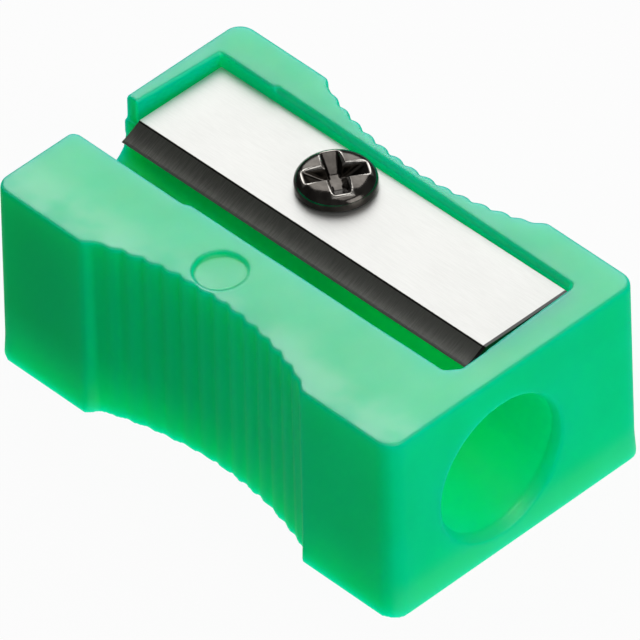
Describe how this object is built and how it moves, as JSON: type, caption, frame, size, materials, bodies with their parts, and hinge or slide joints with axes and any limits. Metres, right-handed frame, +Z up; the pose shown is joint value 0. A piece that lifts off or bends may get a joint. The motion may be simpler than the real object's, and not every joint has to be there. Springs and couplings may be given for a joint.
{
  "type": "pencil sharpener",
  "caption": "Small wedge pencil sharpener: waisted, ribbed plastic body with a slanted conical bore and a shavings slot, and a ground blade held by a cross-head screw.",
  "frame": {"origin": "under the middle of the body, on the surface that it stands on", "axes": "+X to the end that the pencil goes in at, +Y to the side that the blade lies on, +Z up"},
  "size_m": [0.0262, 0.0162, 0.0108],
  "materials": {
    "body_plastic": "satin, slightly translucent green moulding",
    "blade_steel": "bright ground flat with a dark ground bevel",
    "screw_plating": "glossy black nickel plating"
  },
  "bodies": {
    "body": {"sharpener_body": "body_plastic"},
    "blade": {"blade": "blade_steel"},
    "screw": {"blade_screw": "screw_plating"}
  },
  "joints": [
    {"name": "blade_lift", "type": "slide", "parent": "body", "child": "blade", "axis": [-0.0187, 0.0001, 0.9998], "range_m": [0, 0.0056]},
    {"name": "screw_turn", "type": "hinge", "parent": "blade", "child": "screw", "pos_m": [-0.00195, 0.00333, 0.00921], "axis": [-0.0187, 0.0001, 0.9998], "range_deg": [0, 2521]}
  ],
  "couplings": [
    {"joint": "screw_turn", "follows": "blade_lift", "rad_per_m": 7854}
  ]
}
